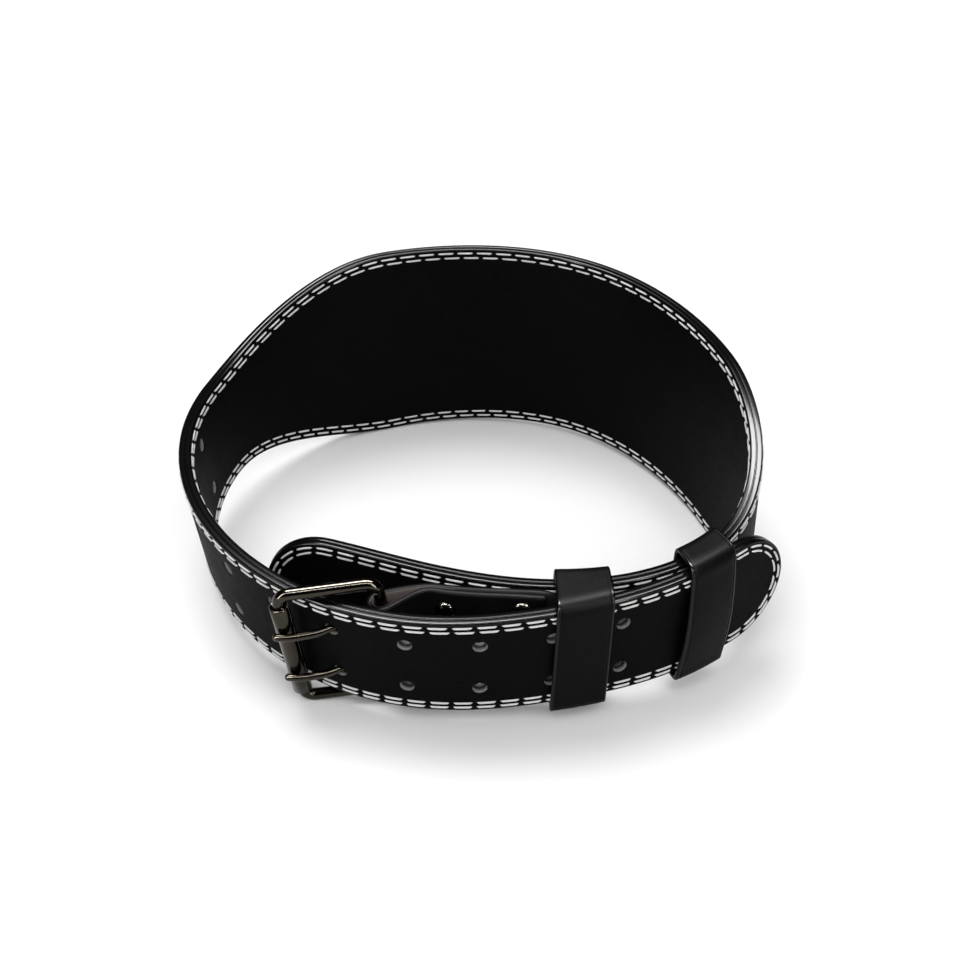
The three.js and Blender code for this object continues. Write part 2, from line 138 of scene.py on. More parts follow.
def add_piece(name, vertices, faces, look, attributes=None, uv=None, weld=0.004):
    """A mesh in the world from points in the belt's axes. Vertices that share a place are welded, normals are
    turned outward, and attributes hold one number for each vertex."""
    mesh = bpy.data.meshes.new(name)
    mesh.from_pydata(in_world(np.asarray(vertices, float)).tolist(), [], [list(map(int, f)) for f in faces])
    for key, values in (attributes or {}).items():
        mesh.attributes.new(key, "FLOAT", "POINT").data.foreach_set("value", np.asarray(values, np.float32))
    if uv is not None:
        mesh.uv_layers.new(name="UVMap").data.foreach_set("uv", np.asarray(uv, np.float32).ravel())
    shell = bmesh.new()
    shell.from_mesh(mesh)
    bmesh.ops.remove_doubles(shell, verts=shell.verts, dist=weld / 1000)
    bmesh.ops.recalc_face_normals(shell, faces=shell.faces)
    shell.to_mesh(mesh)
    shell.free()
    mesh.polygons.foreach_set("use_smooth", np.full(len(mesh.polygons), True))
    mesh.materials.append(look)
    mesh.update()
    piece = bpy.data.objects.new(name, mesh)
    bpy.context.scene.collection.objects.link(piece)
    return piece


class Number:
    """A shader socket's value. Arithmetic with it, on either side, adds Math nodes to its look."""

    def __init__(self, look, socket):
        self.look, self.socket = look, socket

    def math(self, operation, *values):
        return self.look.node("ShaderNodeMath", {"operation": operation}, dict(enumerate(values)))

    def __add__(self, other):
        return self.math("ADD", self, other)

    def __radd__(self, other):
        return self.math("ADD", other, self)

    def __sub__(self, other):
        return self.math("SUBTRACT", self, other)

    def __rsub__(self, other):
        return self.math("SUBTRACT", other, self)

    def __mul__(self, other):
        return self.math("MULTIPLY", self, other)

    def __rmul__(self, other):
        return self.math("MULTIPLY", other, self)

    def out(self, name):
        return Number(self.look, self.socket.node.outputs[name])


class Look:
    """A material in the making."""

    def __init__(self, name):
        self.material = bpy.data.materials.new(name)
        self.material.use_nodes = True
        self.tree = self.material.node_tree
        self.tree.nodes.clear()

    def node(self, kind, settings=None, inputs=None, output=0):
        made = self.tree.nodes.new(kind)
        for key, value in (settings or {}).items():
            if key == "stops":
                ramp = made.color_ramp
                for index, (place, shade) in enumerate(value):
                    stop = ramp.elements[index] if index < 2 else ramp.elements.new(place)
                    stop.position, stop.color = place, (shade, shade, shade, 1)
            else:
                setattr(made, key, value)
        for key, value in (inputs or {}).items():
            if isinstance(value, Number):
                self.tree.links.new(value.socket, made.inputs[key])
            elif isinstance(value, tuple) and len(value) == 3 and made.inputs[key].type == "RGBA":
                made.inputs[key].default_value = (*value, 1)
            else:
                made.inputs[key].default_value = value
        return Number(self, made.outputs[output]) if made.outputs else None

    def place(self, scale=(1, 1, 1)):
        coordinates = self.node("ShaderNodeTexCoord").out("Object")
        return self.node("ShaderNodeMapping", None, {"Vector": coordinates, "Scale": scale})

    def attribute(self, name):
        return self.node("ShaderNodeAttribute", {"attribute_name": name}).out("Fac")

    def noise(self, size, detail=2.0, where=None, roughness=0.5):
        """Noise whose lumps are about that many millimetres across, from 0 to 1."""
        where = where or self.place()
        inputs = {"Vector": where, "Scale": 1000 / size, "Detail": detail, "Roughness": roughness}
        return self.node("ShaderNodeTexNoise", None, inputs)

    def cells(self, size, feature, smoothness=None):
        """Distances in Voronoi cells about that many millimetres across."""
        inputs = {"Vector": self.place(), "Scale": 1000 / size}
        if smoothness is not None:
            inputs["Smoothness"] = smoothness
        return self.node("ShaderNodeTexVoronoi", {"feature": feature}, inputs).out("Distance")

    def ramp(self, value, *stops):
        return self.node("ShaderNodeValToRGB", {"stops": stops}, {0: value})

    def mix(self, share, first, second):
        return self.node("ShaderNodeMix", {"data_type": "RGBA"}, {0: share, 6: first, 7: second}, output=2)

    def bump(self, height, depth):
        """A Bump node whose height of 1 stands that many millimetres proud."""
        inputs = {"Height": height, "Distance": depth / 1000, "Strength": 1.0}
        return self.node("ShaderNodeBump", None, inputs)

    def finish(self, **inputs):
        named = {key.replace("_", " "): value for key, value in inputs.items()}
        surface = self.node("ShaderNodeBsdfPrincipled", None, named)
        self.node("ShaderNodeOutputMaterial", None, {"Surface": surface})
        return self.material


EDGE_RADIUS = 0.9
EDGE_ANGLES = (0, 22.5, 45, 67.5, 90)
EDGE_SIDE = ((-0.05, 1.1), (-0.06, 0.5), (-0.02, 0.3), (0.16, 0.14))
PAINT_DEPTH, PAINT_FADE = 1.4, 0.5
GROOVE_WIDTH = 0.45
GROOVE_DEPTH = 0.16
STITCH_ROWS = (2.3, 4.85)
BAND_ROWS = (0.9, 1.4, 1.85, 2.1, 2.3, 2.5, 2.8, 3.3, 3.9, 4.4, 4.65, 4.85, 5.05, 5.4, 6.0)
HOLE_COLUMNS = 16
BLOCK_COLUMNS, BLOCK_ROWS = 8, 6
BLOCK_HEIGHT = 10.0
INNER_UPS = (17.5, 15.833, 14.167, 12.5, 10.833, 9.167, 7.5, 5, 2.5, 0)
END_COLUMNS = 20
RAW_FROM = 0.4
RIM_DEPTH = 0.24
RIM_FADE = 0.4
HOLE_RINGS = ((0, 1.12, 0), (0.45, 1.12, 0), (0.75, 1.12, 0.03), (0.92, 1.12, 0.1), (1, 1.1, 0.24),
              (1, 1.03, 0.5), (1, 1, 0.9), (1, 1, STRAP_THICKNESS / 2))
USED_PULL = ((1, (1.2, -1.0)), (-1, (3.2, 0.4)))


def strap_stations():
    """Distances along the strap at which the grid has a column: close together round the ends and evenly
    divided between the prong holes, so that each hole sits in a square of whole cells."""
    turn = np.linspace(0, math.pi / 2, END_COLUMNS + 1)
    ends = END_ROUNDING * (1 - np.cos(turn))
    first = USED_HOLE - PAIRS_BEFORE_USED * HOLE_PITCH
    holes = first + HOLE_PITCH / HOLE_COLUMNS * np.arange(-8, (HOLE_PAIRS - 1) * HOLE_COLUMNS + 9)
    front = np.linspace(END_ROUNDING, holes[0], 221)
    tip = np.linspace(holes[-1], STRAP_LENGTH - END_ROUNDING, 17)
    return np.concatenate([ends[:-1], front[:-1], holes, tip[1:-1], STRAP_LENGTH - ends[::-1]])


STATIONS = strap_stations()


def outline_normals(at, half):
    """Unit normals of the upper outline, pointing into the strap: its tangent turned right by a quarter."""
    along, rise = np.gradient(at), np.gradient(half)
    along[[0, -1]], rise[[0, -1]] = 0, (1, -1)
    length = np.hypot(along, rise)
    return rise / length, -along / length


HALF = strap_height(STATIONS) / 2
NORMAL_AT, NORMAL_UP = outline_normals(STATIONS, HALF)


def inset(depth):
    """The upper outline moved into the strap by a depth: places along it and heights over the middle line."""
    return STATIONS + depth * NORMAL_AT, HALF + depth * NORMAL_UP


def strap_face(side):
    """One face of the strap: rows that follow the outline, with a shallow groove under each row of stitches,
    and straight rows between them. side is 1 for the outer face and -1 for the inner one."""
    rows = [(*inset(depth), depth) for depth in BAND_ROWS]
    at_in, up_in, _ = rows[-1]
    share = np.array(INNER_UPS) / (FRONT_HEIGHT / 2 - BAND_ROWS[-1])
    upper = [(at, height, depth) for at, height, depth in rows] + [(at_in, s * up_in, 99) for s in share]
    lower = [(at, -height, depth) for at, height, depth in reversed(upper[:-1])]
    at, height, depth = zip(*(upper + lower))
    at, height = np.array(at), np.array(height)
    depth = np.repeat(np.array(depth, float)[:, None], at.shape[1], 1)
    groove = sum(np.exp(-(((depth - row) / GROOVE_WIDTH) ** 2)) for row in STITCH_ROWS)
    outward = side * (STRAP_THICKNESS / 2 - GROOVE_DEPTH * groove)
    edge = np.clip((PAINT_DEPTH - depth) / PAINT_FADE, 0, 1)
    return at, outward, height, edge


def strap_faces_without_holes(rows, columns, start):
    """The face's cells, less a square block of them round each prong hole."""
    keep = np.ones((rows - 1, columns - 1), bool)
    first = int(np.argmin(abs(STATIONS - (USED_HOLE - PAIRS_BEFORE_USED * HOLE_PITCH))))
    top = len(BAND_ROWS)
    mirror = rows - 1 - top
    for pair in range(HOLE_PAIRS):
        column = first + pair * HOLE_COLUMNS
        block = slice(column - BLOCK_COLUMNS // 2, column + BLOCK_COLUMNS // 2)
        keep[top:top + BLOCK_ROWS, block] = False
        keep[mirror - BLOCK_ROWS:mirror, block] = False
    return grid_faces(rows, columns, start=start)[keep.ravel()]


def hole_walls():
    """Round each prong hole, rings that go from its square of cells in the outer face to the rolled rim, down
    the bore and out to the square in the inner face. The used pair's bores slant, as the prongs pull them."""
    level = np.linspace(-1, 1, BLOCK_COLUMNS + 1)[:-1]
    upright = np.linspace(-1, 1, BLOCK_ROWS + 1)[:-1]
    below, right = np.stack([level, 0 * level - 1], -1), np.stack([0 * upright + 1, upright], -1)
    square = np.concatenate([below, right, -below, -right])
    block = square * (BLOCK_COLUMNS / 2 * HOLE_PITCH / HOLE_COLUMNS, BLOCK_HEIGHT / 2)
    angle = np.arctan2(block[:, 1], block[:, 0])
    circle = np.stack([np.cos(angle), np.sin(angle)], -1)
    half = STRAP_THICKNESS / 2
    outer = [(share, radius, half - sink) for share, radius, sink in HOLE_RINGS]
    inner = [(share, radius, sink - half) for share, radius, sink in HOLE_RINGS[-2::-1]]
    blend, radius, outward = (np.array(column) for column in zip(*(outer + inner)))
    shape = block * (1 - blend)[:, None, None] + circle * (blend * radius * HOLE_RADIUS)[:, None, None]
    pairs = np.arange(HOLE_PAIRS)
    at = USED_HOLE + (pairs - PAIRS_BEFORE_USED) * HOLE_PITCH
    used = (pairs == PAIRS_BEFORE_USED)[:, None, None]
    points = []
    for side, pull in USED_PULL:
        slant = used * (blend * np.interp(outward, (-half, half), pull))[None, :, None]
        along = at[:, None, None] + shape[None, ..., 0] + slant
        height = side * HOLE_SPACING / 2 + shape[None, ..., 1] + 0 * along
        points.append(np.stack([along, outward[None, :, None] + 0 * along, height], -1))
    points = np.concatenate(points)
    raw = np.where(blend == 1, np.clip((abs(outward) - RAW_FROM) / (half - RAW_FROM), 0, 1) ** 0.5, 0)
    raw = raw * np.clip((half - RIM_DEPTH - abs(outward)) / RIM_FADE, 0, 1)
    return points, np.broadcast_to(raw[None, :, None], points.shape[:3])


def strap_edge():
    """The painted edge, carried all round the outline: a quarter circle from each face, and between them a
    nearly flat side with a fine line where the two leathers meet."""
    half, r = STRAP_THICKNESS / 2, EDGE_RADIUS
    angle = np.radians(EDGE_ANGLES)
    corner = np.stack([r - r * np.sin(angle), half - r + r * np.cos(angle)], -1)
    profile = np.concatenate([corner, EDGE_SIDE])
    profile = np.concatenate([profile, profile[::-1] * (1, -1)])
    depth, outward = profile.T
    at = STATIONS[None] + depth[:, None] * NORMAL_AT
    height = HALF[None] + depth[:, None] * NORMAL_UP
    at = np.concatenate([at, at[:, -2:0:-1]], 1)
    height = np.concatenate([height, -height[:, -2:0:-1]], 1)
    return at, np.broadcast_to(outward[:, None], at.shape), height


def leather_look(name, colour, sheen, grain, shine, gloss, paint=0.002):
    """Dyed leather: fine pebbled grain, slightly cloudy dye, a glossier painted edge under a clear coat, and
    raw fibres in the bores."""
    look = Look(name)
    edge = look.attribute("edge")
    bore = look.attribute("bore")
    cloud = look.noise(14, 3)
    pebble = look.cells(1.15, "SMOOTH_F1", smoothness=0.6)
    creases = look.cells(2.6, "DISTANCE_TO_EDGE")
    fine = look.noise(0.35, 3)
    fibres = look.noise(0.5, 4)
    dye = look.mix(cloud, colour, tuple(1.8 * c for c in colour))
    painted = look.mix(edge, dye, (paint, paint, paint * 1.06))
    raw = look.mix(fibres, (0.20, 0.196, 0.19), (0.42, 0.41, 0.40))
    base = look.mix(bore, painted, raw)
    face_rough = sheen + 0.14 * cloud + 0.12 * pebble
    rough = face_rough * (1 - edge) + edge * (0.24 + 0.1 * cloud)
    rough = rough * (1 - bore) + 0.9 * bore
    domes = look.ramp(pebble, (0.0, 1.0), (0.75, 0.0))
    flats = look.ramp(creases, (0.0, 0.0), (0.12, 1.0))
    height = grain * (0.7 * domes + 0.3 * flats)
    height = (height + 0.12 * fine) * (1 - edge) + 0.05 * cloud + bore * fibres
    normal = look.bump(height, 0.09)
    return look.finish(Base_Color=base, Roughness=rough, Normal=normal, Coat_Weight=gloss * edge,
                       Specular_IOR_Level=shine, Coat_Roughness=0.16)


STRAP_COLOUR = (0.0010, 0.0010, 0.0012)

face_parts = [strap_face(side) for side in (1, -1)]
edge_part = strap_edge()
hole_points, hole_bore = hole_walls()
vertices, faces, edge_share, bore_share, count = [], [], [], [], 0
for at, outward, height, edge in face_parts:
    vertices.append(strap_point(at, outward, height).reshape(-1, 3))
    faces.append(strap_faces_without_holes(*at.shape, count))
    edge_share.append(edge.ravel())
    bore_share.append(0 * edge.ravel())
    count += at.size
vertices.append(strap_point(*edge_part).reshape(-1, 3))
faces.append(grid_faces(*edge_part[0].shape, wrap_columns=True, start=count))
edge_share.append(np.ones(edge_part[0].size))
bore_share.append(np.zeros(edge_part[0].size))
count += edge_part[0].size
vertices.append(strap_point(hole_points[..., 0], hole_points[..., 1], hole_points[..., 2]).reshape(-1, 3))
for hole in range(len(hole_points)):
    start = count + hole * hole_bore[0].size
    faces.append(grid_faces(*hole_points.shape[1:3], wrap_columns=True, start=start))
edge_share.append(np.zeros(hole_bore.size))
bore_share.append(hole_bore.ravel())
strap = add_piece("belt_strap_leather", np.concatenate(vertices), np.concatenate(faces),
                  leather_look("strap_leather", STRAP_COLOUR, 0.42, 1.0, 0.026, 0.22),
                  {"edge": np.concatenate(edge_share), "bore": np.concatenate(bore_share)})
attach(strap, "root")
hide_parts("belt_strap")


# Stitching: two rows of heavy white waxed thread run round the strap on both faces, sunk in a groove near the
# edge. Each stitch is a short twisted length that dives into the leather at both ends.
STITCH_PITCH = 9.65
STITCH_LENGTH = 9.1
THREAD_RADIUS = 0.5
STITCH_RINGS = 7
THREAD_SIDES = 6


def stitch_row(depth, side, phase):
    """A closed row at a depth from the edge: tapered tubes at an even pitch along the inset outline, arched
    over the leather, and sinking into it at their ends."""
    at, height = inset(depth)
    at = np.concatenate([at, at[-2::-1]])
    height = np.concatenate([height, -height[-2::-1]])
    run = np.concatenate([[0], np.cumsum(np.hypot(np.diff(at), np.diff(height)))])
    number = round(run[-1] / STITCH_PITCH)
    middle = (np.arange(number) + phase) * run[-1] / number
    share = np.linspace(-1, 1, STITCH_RINGS)
    place = (middle[:, None] + share * STITCH_LENGTH / 2) % run[-1]
    ahead = (place + 0.05) % run[-1]
    a, h = np.interp(place, run, at), np.interp(place, run, height)
    da, dh = np.interp(ahead, run, at) - a, np.interp(ahead, run, height) - h
    length = np.hypot(da, dh)
    across_at, across_up = -dh / length, da / length
    thick = THREAD_RADIUS * np.sqrt(np.clip(1.02 - share ** 6, 0, 1))
    lift = 0.22 - 0.75 * share ** 8
    angle = np.linspace(0, 2 * math.pi, THREAD_SIDES, endpoint=False)
    sideways = thick[:, None] * np.cos(angle)
    along = a[..., None] + across_at[..., None] * sideways
    rise = h[..., None] + across_up[..., None] * sideways
    out = side * (STRAP_THICKNESS / 2 - GROOVE_DEPTH + lift[:, None] + thick[:, None] * np.sin(angle))
    return strap_point(along, np.broadcast_to(out, along.shape), rise)


def thread_look():
    """White waxed thread: two plies twisted together, with painted shade in the hollows between them, and
    patches of dirt.
    """
    look = Look("white_thread")
    uv = look.node("ShaderNodeUVMap", {"uv_map": "UVMap"})
    twist = look.node("ShaderNodeTexWave", {"wave_type": "BANDS", "bands_direction": "DIAGONAL"},
                      {"Vector": uv, "Scale": 2.2, "Distortion": 0.4, "Detail": 1.0}).out("Fac")
    dirt = look.noise(18, 3)
    # The twist's hollows are painted darker than its ridges, as shade between the plies.
    twist_with_painted_shade = look.mix(twist, (0.74, 0.74, 0.73), (0.93, 0.93, 0.92))
    base = look.mix(look.ramp(dirt, (0.45, 0.0), (0.8, 0.35)), twist_with_painted_shade, (0.5, 0.49, 0.47))
    return look.finish(Base_Color=base, Roughness=0.55 + 0.1 * dirt, Normal=look.bump(twist, 0.12),
                       Specular_IOR_Level=0.4)


WHITE_THREAD = thread_look()


def thread_piece(name, rows):
    """All stitches of some rows as one mesh, with a UV map that runs along and round each stitch."""
    tubes = np.concatenate(rows)
    number = len(tubes)
    tube = grid_faces(STITCH_RINGS, THREAD_SIDES, wrap_columns=True)
    size = STITCH_RINGS * THREAD_SIDES
    halves = np.array([[0, 1, 2, 3], [0, 3, 4, 5]])
    closed = np.concatenate([tube, halves[:, ::-1], halves + size - THREAD_SIDES])
    all_faces = (closed[None] + size * np.arange(number)[:, None, None]).reshape(-1, 4)
    ring, turn = np.divmod(np.arange(size), THREAD_SIDES)
    around = np.stack([turn / THREAD_SIDES, ring * STITCH_LENGTH / (STITCH_RINGS - 1)], -1)
    corners = around[closed].copy()
    wraps = (closed[:, :, None] % THREAD_SIDES).max(1)[:, 0] - (closed % THREAD_SIDES).min(1) > 1
    corners[..., 0] += ((closed % THREAD_SIDES == 0) & wraps[:, None]).astype(float)
    return add_piece(name, tubes.reshape(-1, 3), all_faces, WHITE_THREAD, uv=np.tile(corners, (number, 1, 1)),
                     weld=0.001)


for name, side, phases in (("outer_stitches", 1, (0.0, 0.54)), ("inner_stitches", -1, (0.0, 0.19))):
    rows = [stitch_row(depth, side, phase) for depth, phase in zip(STITCH_ROWS, phases)]
    stitches = thread_piece(name, rows)
    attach(stitches, "root")


# Buckle's own axes: the hinge bar is inside the billet, behind the used hole, and the roller outside it, so
# the wire frame crosses the strap at a slant. X goes from the hinge to the roller, Y outward, Z up.
HINGE_BEHIND, HINGE_INWARD = 18.5, 11.2
ROLLER_AHEAD, ROLLER_OUTWARD = 18.0, 8.6
BUCKLE_LEAN = math.radians(4)
BUCKLE_ROLL = math.radians(7)
WIRE_RADIUS = 2.6


def buckle_axes():
    """The hinge's place, the buckle's axes and its reach. In plan X is the line from hinge to roller. The up
    axis leans outward, and then both roll about the buckle's middle, so that its top goes forward."""
    flat = np.array([1, 1, 0])
    hinge = strap_point(USED_HOLE + HINGE_BEHIND, -HINGE_INWARD, 0) * flat
    roller = strap_point(USED_HOLE - ROLLER_AHEAD, ROLLER_OUTWARD, 0) * flat
    length = np.linalg.norm(roller - hinge)
    reach = (roller - hinge) / length
    up_axis = np.cross([0, 0, 1], reach) * math.sin(BUCKLE_LEAN) + np.array([0, 0, math.cos(BUCKLE_LEAN)])
    outward = np.cross(up_axis, reach)
    rolled_reach = reach * math.cos(BUCKLE_ROLL) - up_axis * math.sin(BUCKLE_ROLL)
    rolled_up = up_axis * math.cos(BUCKLE_ROLL) + reach * math.sin(BUCKLE_ROLL)
    start = (hinge + roller) / 2 - rolled_reach * length / 2
    return start, np.stack([rolled_reach, outward, rolled_up]), length


HINGE, BUCKLE_AXES, ROLLER_REACH = buckle_axes()


def buckle_point(reach, outward, up):
    """A point given along the buckle's own axes from its hinge."""
    reach, outward, up = np.broadcast_arrays(np.asarray(reach, float), outward, up)
    return HINGE + np.stack([reach, outward, up], -1) @ BUCKLE_AXES


# Buckle strap: a folded strip of black leather with a suede flesh side, riveted to the flap's outer face. Its
# fold carries the hinge bar and is slotted for the prongs' eyes, and its tail has round corners.
HOLDER_HEIGHT = 50.0
HOLDER_THICKNESS = 2.5
HOLDER_LIFT_OFF = 1.1
GAP = 0.35
FOLD_EASE = 0.35
FOLD_RADIUS = WIRE_RADIUS + GAP + FOLD_EASE + HOLDER_THICKNESS / 2
HOLDER_SHARE = np.array([0.1318, 0.1283, 0.1214, 0.1086, 0.0967, 0.0849, 0.0735])
HOLDER_WIDE = np.array([0.68, 0.87, 1, 1, 0.95, 0.89, 0.85])
FOLD_WIDE = 0.84
HOLDER_SLOT = 4.6
HOLDER_SLOT_RADIUS = 6.9
HOLDER_TRIM = 0.35


def smooth_line(points, count):
    """A centripetal Catmull-Rom curve through points, sampled evenly between them."""
    points = np.asarray(points, float)
    ends = 2 * points[[0, -1]] - points[[1, -2]]
    p = np.concatenate([ends[:1], points, ends[1:]])
    at = np.linspace(0, len(points) - 1, count)
    low = np.minimum(at.astype(int), len(points) - 2)
    t = (at - low)[:, None]
    p0, p1, p2, p3 = p[low], p[low + 1], p[low + 2], p[low + 3]
    d0, d1, d2 = (np.sqrt(np.linalg.norm(b - a, axis=1, keepdims=True))
                  for a, b in ((p0, p1), (p1, p2), (p2, p3)))
    m1 = ((p1 - p0) / d0 - (p2 - p0) / (d0 + d1) + (p2 - p1) / d1) * d1
    m2 = ((p2 - p1) / d1 - (p3 - p1) / (d1 + d2) + (p3 - p2) / d2) * d1
    return ((2 * t ** 3 - 3 * t ** 2 + 1) * p1 + (t ** 3 - 2 * t ** 2 + t) * m1
            + (3 * t ** 2 - 2 * t ** 3) * p2 + (t ** 3 - t ** 2) * m2)


def holder_edge(side, count):
    """One long edge of the folded strip: out along the flap, round the hinge bar and back over itself."""
    inner = STRAP_THICKNESS / 2 + GAP + HOLDER_THICKNESS / 2
    outer = inner + HOLDER_THICKNESS + GAP
    half = side * HOLDER_HEIGHT / 2
    lift = np.where(np.arange(len(HOLDER_SHARE)) == len(HOLDER_SHARE) - 1, HOLDER_LIFT_OFF, 0)
    out = strap_point(HOLDER_SHARE * STRAP_LENGTH, inner + lift, HOLDER_WIDE * half)
    back = strap_point(HOLDER_SHARE * STRAP_LENGTH, outer + lift, HOLDER_WIDE * half)[:1:-1]
    angle = np.radians([-90, -45, 0, 45, 90])
    fold = buckle_point(FOLD_RADIUS * np.cos(angle), FOLD_RADIUS * np.sin(angle), FOLD_WIDE * half)
    return smooth_line(np.concatenate([out, fold, back]), count)


# Suede colour by distance from the hinge: near the fold it shows, and farther off it is painted dark, as
# shade between the closed layers.
SUEDE_SHADE_REACH = (20, 30)
SUEDE_SHADE_SHARE = (1, 0.87)


def holder_mesh(columns=150, rows=25):
    """The strip as a thick sheet on a grid of cells. Cells of the two slots are left out, and a wall closes
    every border of what stays. Its long edges are rounded by drawing them in near the faces."""
    low, high = holder_edge(-1, columns), holder_edge(1, columns)
    tangent = np.gradient((low + high) / 2, axis=0)
    across = np.cross(tangent, high - low)
    across /= np.linalg.norm(across, axis=1, keepdims=True)
    spacing = np.linspace(-1, 1, rows)
    height = HOLDER_HEIGHT / 2 * FOLD_WIDE
    for side in (-1, 1):
        for edge in (HOLE_SPACING / 2 - HOLDER_SLOT / 2, HOLE_SPACING / 2 + HOLDER_SLOT / 2):
            spacing[np.argmin(abs(spacing - side * edge / height))] = side * edge / height
    share = (spacing + 1) / 2
    sheets = []
    for face in (1, -1):
        trim = HOLDER_TRIM / np.linalg.norm(high - low, axis=1, keepdims=True)
        grid = low[None] * (1 - share[:, None, None]) + high[None] * share[:, None, None]
        grid = grid + face * across[None] * HOLDER_THICKNESS / 2
        grid[0] += (high - low) * trim
        grid[-1] -= (high - low) * trim
        sheets.append(grid)
    place = ((low + high) / 2 - HINGE) @ BUCKLE_AXES.T
    near = np.hypot(place[:, 0], place[:, 1]) < HOLDER_SLOT_RADIUS
    cell_near = near[:-1] & near[1:]
    cell_up = (spacing[:-1] + spacing[1:]) / 2 * height
    slot = abs(abs(cell_up) - HOLE_SPACING / 2) < HOLDER_SLOT / 2
    keep = ~(slot[:, None] & cell_near[None])
    size = rows * columns
    cells = grid_faces(rows, columns)
    faces = [cells[keep.ravel()], (cells + size)[keep.ravel()][:, ::-1]]
    padded = np.pad(keep, 1)
    index = np.arange(size).reshape(rows, columns)
    rim = np.arange(columns) + 2 * size
    across_rows = padded[1:-1, 1:] != padded[1:-1, :-1]
    r, c = np.nonzero(across_rows)
    faces.append(np.stack([index[r, c], index[r + 1, c], index[r + 1, c] + size, index[r, c] + size], -1))
    along_rows = padded[1:, 1:-1] != padded[:-1, 1:-1]
    r, c = np.nonzero(along_rows)
    inside = (r > 0) & (r < rows - 1)
    ri, ci = r[inside], c[inside]
    a, b = index[ri, ci], index[ri, ci + 1]
    faces.append(np.stack([a, b, b + size, a + size], -1))
    for row, ring in ((0, rim), (rows - 1, rim + columns)):
        a, b = index[row, :-1], index[row, 1:]
        faces.append(np.stack([a, b, ring[1:], ring[:-1]], -1))
        faces.append(np.stack([a + size, b + size, ring[1:], ring[:-1]], -1))
    vertices = np.concatenate([sheets[0].reshape(-1, 3), sheets[1].reshape(-1, 3), low, high])
    # Painted shade: the flesh side loses its suede colour away from the fold.
    suede = np.interp(np.hypot(place[:, 0], place[:, 1]), SUEDE_SHADE_REACH, SUEDE_SHADE_SHARE)
    flesh = np.concatenate([np.zeros(size), np.tile(suede, rows), np.full(2 * columns, 0.5)])
    triangles = []
    for column in (0, columns - 1):
        triangles.append([index[0, column], index[0, column] + size, rim[column]])
        triangles.append([index[-1, column], index[-1, column] + size, rim[column] + columns])
    return vertices, [list(f) for f in np.concatenate(faces)] + triangles, flesh


def holder_look():
    """Black leather on the outer side and the cut edges, and brown-grey suede on the flesh side, which is
    painted dark away from the fold, as shade between the closed layers."""
    look = Look("buckle_strap_leather")
    flesh = look.ramp(look.attribute("flesh"), (0.86, 0.0), (0.96, 1.0))
    pebble = look.cells(1.15, "SMOOTH_F1", smoothness=0.6)
    nap = look.noise(0.6, 5, roughness=0.7)
    cloud = look.noise(9, 3)
    dye = look.mix(cloud, (0.0014, 0.0014, 0.0016), (0.003, 0.003, 0.003))
    suede = look.mix(nap, (0.07, 0.058, 0.055), (0.20, 0.165, 0.155))
    base = look.mix(flesh, dye, suede)
    rough = (0.42 + 0.15 * cloud) * (1 - flesh) + 0.92 * flesh
    height = (1 - pebble) * 0.6 * (1 - flesh) + nap * flesh * 1.6
    return look.finish(Base_Color=base, Roughness=rough, Normal=look.bump(height, 0.1),
                       Specular_IOR_Level=0.07)


vertices, faces, flesh = holder_mesh()
holder = add_piece("buckle_strap_leather", vertices, faces, holder_look(), {"flesh": flesh})
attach(holder, "root")
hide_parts("buckle_strap")


# Rivets: four dark nickel tubular rivets clamp the buckle strap to the flap, with a low domed cap outside and
# a flat rolled back inside.
RIVETS = (("rivet_near_upper", 0.0822, 0.25), ("rivet_near_lower", 0.0822, -0.25),
          ("rivet_far_upper", 0.1125, 0.36), ("rivet_far_lower", 0.1125, -0.36))
SHANK_RADIUS = 1.6
RIVET_HEAD_RADIUS = 4.2
RIVET_HEAD_HEIGHT = 1.7
RIVET_BACK_HEIGHT = 0.8
RIVET_RIM = 0.45


def metal_look(name, dark, light, rough):
    """Dark polished nickel: a slightly uneven plating, faint polishing marks and dull specks."""
    look = Look(name)
    cloud = look.noise(5, 3)
    marks = look.noise(0.8, 4, where=look.place((1, 1, 0.12)))
    specks = look.ramp(look.noise(1.6, 6, roughness=0.7), (0.62, 0.0), (0.72, 1.0))
    base = look.mix(cloud, dark, light)
    worn = look.mix(specks * 0.35, base, (0.04, 0.036, 0.03))
    roughness = rough + 0.05 * marks + 0.25 * specks
    return look.finish(Base_Color=worn, Metallic=1.0, Roughness=roughness,
                       Normal=look.bump(0.5 * marks + 0.4 * cloud, 0.02))


NICKEL = metal_look("buckle_nickel", (0.026, 0.023, 0.018), (0.052, 0.046, 0.038), 0.11)
RIVET_NICKEL = metal_look("rivet_nickel", (0.055, 0.051, 0.044), (0.10, 0.094, 0.083), 0.14)


def turned(profile, at, up_share, around=48):
    """A profile of (radius, outward) pairs turned about an axis across the strap."""
    radius, outward = np.array(profile).T
    angle = np.linspace(0, 2 * math.pi, around, endpoint=False)
    along = at + radius[:, None] * np.cos(angle)
    rise = up_share * HOLDER_HEIGHT + radius[:, None] * np.sin(angle)
    centre, out_axis, along_axis, up_axis = strap_axes(np.array(float(at)))
    sideways, upward = (along - at)[..., None] * along_axis, rise[..., None] * up_axis
    points = centre + sideways + outward[:, None, None] * out_axis + upward
    return points, grid_faces(len(profile), around, wrap_columns=True)


